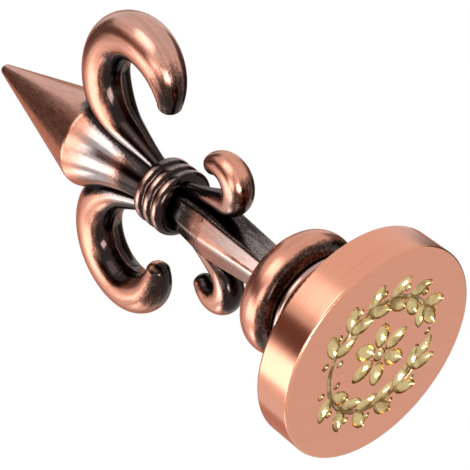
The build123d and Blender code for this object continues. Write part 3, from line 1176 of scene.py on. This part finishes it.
class STAMP_OT_knob(bpy.types.Operator):
    """Turn the base knob: bulb, bead, cove and foot, with the threaded spigot under it"""

    bl_idname = "stamp.knob"
    bl_label = "Base knob"

    def execute(self, context):
        shank = context.scene.stamp_shank
        bulb_ring = BULB_RADIUS - shank.bulb_tube
        bulb_level = KNOB_TOP - shank.bulb_tube
        bead_level = bulb_level - shank.bulb_tube - shank.knob_bead
        low, high = HEAD_TOP + shank.foot_height, bead_level - shank.knob_bead
        start = Vector((shank.knob_bead_ring, high))
        stop = Vector((shank.foot_radius, low))
        middle = Vector((shank.cove_radius, (low + high) / 2))
        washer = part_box("head_washer")
        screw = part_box("screw_washer")
        pocket = screw[1].x + shank.pocket_room
        recess = washer[1].x + shank.recess_room
        line = Outline(SCREW_BORE, KNOB_TOP)
        line.run(bulb_ring, KNOB_TOP, steps=12)
        line.arc(bulb_ring, bulb_level, -math.pi, steps=64)
        line.run(shank.knob_bead_ring, bead_level + shank.knob_bead, steps=4)
        line.arc(shank.knob_bead_ring, bead_level, -math.pi, steps=20)
        # Circle through the three points of the cove
        ab, cb = start - middle, stop - middle
        cross = 2 * (ab.x * cb.y - ab.y * cb.x)
        centre = middle + Vector((
            (cb.y * ab.length_squared - ab.y * cb.length_squared) / cross,
            (ab.x * cb.length_squared - cb.x * ab.length_squared) / cross,
        ))
        begin, end = start - centre, stop - centre
        sweep = math.atan2(begin.x * end.y - begin.y * end.x, begin.dot(end))
        line.arc(centre.x, centre.y, sweep, steps=30)
        line.run(shank.foot_radius, HEAD_TOP, steps=3)
        line.run(recess, HEAD_TOP)
        line.run(recess, washer[1].z)
        line.run(shank.thread_radius, washer[1].z)
        groove = shank.thread_radius - shank.thread_depth
        level = HEAD_TOP - shank.thread_pitch / 2
        while level - shank.thread_pitch > SPIGOT_END:
            line.run(shank.thread_radius, level)
            line.run(groove, level - shank.thread_pitch / 2)
            level -= shank.thread_pitch
        line.run(shank.thread_radius, level)
        line.run(groove, SPIGOT_END)
        line.run(pocket, SPIGOT_END)
        line.run(pocket, screw[1].z)
        line.run(SCREW_BORE, screw[1].z)
        line.close()
        bm = line.turn()

        def wear(place, normal):
            """Polished bulb, dark cove with a rubbed bead and foot whose film is partly painted highlight,
            film as a painted grey reflection in the cove, a dark ring round the stem.
            """
            reach = math.hypot(place.x, place.y)
            bulb = ease(bulb_level / MM - 2.3, bulb_level / MM - 0.7, place.z)
            rubbed = ease(6.9, 7.3, reach) if place.z * MM < bulb_level - shank.bulb_tube else 0.0
            # Film on the bead and foot is partly a painted highlight, and in the cove a painted grey
            # reflection
            return max(bulb, 0.85 * rubbed, 0.24), max(0.6 * rubbed, 0.15 * (1 - bulb))

        add_wear(bm, wear, grain=(0.12, 0.12, 1.0))
        shade_by_neighbours(bm, ("tail_stem",), DEEP_RECESS)
        finish_piece(bm, "base_knob")
        return {"FINISHED"}


class STAMP_OT_head_finishes(bpy.types.Operator):
    """Give the head, its washer and the tie screw their finishes"""

    bl_idname = "stamp.head_finishes"
    bl_label = "Head and screw finishes"

    def execute(self, context):
        finishes = {
            "stamp_head": brushed_copper_on_brass(),
            "head_washer": pressed_red_fibre(),
            "screw_washer": zinc_plated_steel(),
        }
        finishes["tie_screw"] = finishes["screw_washer"]
        for node, material in finishes.items():
            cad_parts[node].material_slots[0].material = material
        return {"FINISHED"}


# Stage

FLOOR_REACH = 0.6
FLOOR_GAP = 0.05 * MM
# The camera stands in front, to the right and under the stamp, rolled so that the handle leans to the left
CAMERA_PLACE = Vector((139.61, -133.28, -114.12)) * MM
CAMERA_FORWARD = Vector((-0.5795, 0.5588, 0.5932))
CAMERA_RIGHT = Vector((0.0799, 0.7634, -0.641))
NEAR_CLIP = 0.01
# Lamps and cards face this point, from these distances
TARGET = Vector((0.0, 0.0, 35.0)) * MM
LAMP_DISTANCE = 0.6
CARD_DISTANCE = 0.3


def facing_stamp(azimuth, elevation, distance):
    """Place and turn of a thing that faces the stamp from an azimuth and a height over the horizon."""
    turn, rise = math.radians(azimuth), math.radians(elevation)
    way = Vector((math.cos(turn) * math.cos(rise), math.sin(turn) * math.cos(rise), math.sin(rise)))
    return TARGET + way * distance, (-way).to_track_quat("-Z", "Y")


def add_softbox(name, direction, distance, size, level):
    """A soft rectangular lamp of a given brightness that faces the stamp."""
    lamp = bpy.data.lights.new(name, "AREA")
    lamp.shape = "RECTANGLE"
    lamp.size, lamp.size_y = size
    lamp.energy = math.pi * level * size[0] * size[1]
    item = bpy.data.objects.new(name, lamp)
    place, turn = facing_stamp(*direction, distance)
    item.location = place
    item.rotation_euler = turn.to_euler()
    bpy.context.scene.collection.objects.link(item)


def dyed_cloth(name, tone):
    """Matt dyed cloth on a card; it shows only as a darker place in the metal's reflections."""
    material, tree, output = new_material(name + "_matt_cloth")
    cloth = add_node(tree, "ShaderNodeBsdfPrincipled", {"Base Color": tone, "Roughness": 1.0})
    tree.links.new(cloth.outputs["BSDF"], output.inputs["Surface"])
    return material


def add_card(name, direction, distance, size, tone):
    """A card that faces the stamp, such as is set round shiny things so that their shape shows."""
    place, turn = facing_stamp(*direction, distance)
    placed = Matrix.LocRotScale(place, turn, Vector((*size, 1.0)))
    bm = bmesh.new()
    bmesh.ops.create_grid(bm, x_segments=1, y_segments=1, size=0.5, matrix=placed)
    card = add_object(bm, name, name + "_mesh", dyed_cloth(name, tone))
    card.visible_camera = False
    card.visible_diffuse = False
    card.visible_shadow = False


def studio_world(settings):
    """White to the camera and in reflections, a pale room to the matt floor."""
    world = bpy.data.worlds.new("studio_room")
    bpy.context.scene.world = world
    world.use_nodes = True
    tree = world.node_tree
    tree.nodes.clear()
    path = add_node(tree, "ShaderNodeLightPath")
    seen = path.outputs["Is Camera Ray"]
    for ray in ("Is Glossy Ray", "Is Transmission Ray"):
        either = add_node(tree, "ShaderNodeMath", {0: seen, 1: path.outputs[ray]}, operation="MAXIMUM")
        seen = either.outputs[0]
    shown = add_node(
        tree,
        "ShaderNodeMix",
        {"Factor": seen, "A": settings.room, "B": (1.0, 1.0, 1.0, 1.0)},
        data_type="RGBA",
    )
    background = add_node(tree, "ShaderNodeBackground", {"Color": shown.outputs["Result"], "Strength": 1.0})
    output = tree.nodes.new("ShaderNodeOutputWorld")
    tree.links.new(background.outputs["Background"], output.inputs["Surface"])


def pale_floor():
    """Matt painted board. Only its upper side shows, so that the engraved face can be seen from below."""
    material, tree, output = new_material("pale_matt_board")
    side = add_node(tree, "ShaderNodeNewGeometry")
    board = add_node(
        tree,
        "ShaderNodeBsdfPrincipled",
        {"Base Color": bpy.context.scene.stamp_colours.floor, "Roughness": 0.9},
    )
    clear = add_node(tree, "ShaderNodeBsdfTransparent")
    mix = add_node(
        tree,
        "ShaderNodeMixShader",
        {0: side.outputs["Backfacing"], 1: board.outputs["BSDF"], 2: clear.outputs["BSDF"]},
    )
    tree.links.new(mix.outputs["Shader"], output.inputs["Surface"])
    return material


class STAMP_OT_stage(bpy.types.Operator):
    """Set up the floor, the lamps and cards, the room and the camera"""

    bl_idname = "stamp.stage"
    bl_label = "Stage"

    def execute(self, context):
        scene = context.scene
        settings = scene.stamp_studio
        bm = bmesh.new()
        bmesh.ops.create_grid(bm, x_segments=1, y_segments=1, size=FLOOR_REACH)
        bmesh.ops.translate(bm, verts=bm.verts[:], vec=(0.0, 0.0, -FLOOR_GAP))
        floor = add_object(bm, "floor", "floor_mesh", pale_floor())
        floor.visible_glossy = False
        floor.visible_diffuse = False
        floor.visible_shadow = False
        # The floor goes down with the head as it unscrews, so that the stamp stands on it in every pose
        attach(floor, "washer")

        # Directions are azimuth from +X and height over the horizon in degrees, sizes are in metres
        add_softbox("softbox_left", (-114, 13), LAMP_DISTANCE, (0.3, 0.46), settings.key_level)
        add_softbox("softbox_right", (-36, 8), LAMP_DISTANCE, (0.31, 0.46), settings.key_level)
        add_softbox("side_reflector", (-152, 8), LAMP_DISTANCE, (0.16, 0.14), settings.side_level)
        add_softbox("low_lamp", (-73, -58), LAMP_DISTANCE / 2, (0.1, 0.12), settings.low_level)
        add_softbox("low_reflector", (-84, -14), LAMP_DISTANCE, (0.24, 0.22), settings.key_level)
        add_card("red_curtain", (-77, 33), CARD_DISTANCE, (0.14, 0.385), settings.red_gap)
        add_card("ceiling_card", (-93, 76), CARD_DISTANCE / 2, (0.105, 0.095), settings.dark_room)
        add_card("wall_card", (98, 3), CARD_DISTANCE, (0.34, 0.26), settings.dark_room)
        add_card("back_card", (150, 40), CARD_DISTANCE, (0.46, 0.46), settings.back_wall)
        studio_world(settings)

        lens = bpy.data.cameras.new("camera")
        lens.lens = settings.lens / MM
        lens.clip_start = NEAR_CLIP
        camera = bpy.data.objects.new("camera", lens)
        back = -CAMERA_FORWARD.normalized()
        right = (CAMERA_RIGHT - back * CAMERA_RIGHT.dot(back)).normalized()
        turned = Matrix((right, back.cross(right), back)).transposed().to_4x4()
        camera.matrix_world = Matrix.Translation(CAMERA_PLACE) @ turned
        scene.collection.objects.link(camera)
        scene.camera = camera
        scene.view_settings.view_transform = "Standard"
        return {"FINISHED"}


class STAMP_PT_panel(bpy.types.Panel):
    """Lists the steps that dress the stamp"""

    bl_idname = "STAMP_PT_panel"
    bl_label = "Wax seal stamp"
    bl_space_type = "VIEW_3D"
    bl_region_type = "UI"
    bl_category = "Stamp"

    def draw(self, context):
        for step in STEPS:
            self.layout.operator(step.bl_idname)


STEPS = (
    STAMP_OT_petals,
    STAMP_OT_curls,
    STAMP_OT_spear,
    STAMP_OT_band,
    STAMP_OT_stem,
    STAMP_OT_knob,
    STAMP_OT_head_finishes,
    STAMP_OT_stage,
)
GROUPS = {
    "stamp_petals": PetalSizes,
    "stamp_curls": CurlSizes,
    "stamp_shank": ShankSizes,
    "stamp_colours": FinishColours,
    "stamp_studio": StudioSettings,
}


def register():
    for name, group in GROUPS.items():
        bpy.utils.register_class(group)
        setattr(bpy.types.Scene, name, PointerProperty(type=group))
    for step in STEPS:
        bpy.utils.register_class(step)
    bpy.utils.register_class(STAMP_PT_panel)


def unregister():
    bpy.utils.unregister_class(STAMP_PT_panel)
    for step in reversed(STEPS):
        bpy.utils.unregister_class(step)
    for name, group in reversed(GROUPS.items()):
        delattr(bpy.types.Scene, name)
        bpy.utils.unregister_class(group)


def main():
    register()
    bpy.ops.stamp.petals()
    bpy.ops.stamp.curls()
    bpy.ops.stamp.spear()
    bpy.ops.stamp.band()
    bpy.ops.stamp.stem()
    bpy.ops.stamp.knob()
    bpy.ops.stamp.head_finishes()
    bpy.ops.stamp.stage()


if __name__ == "__main__":
    main()
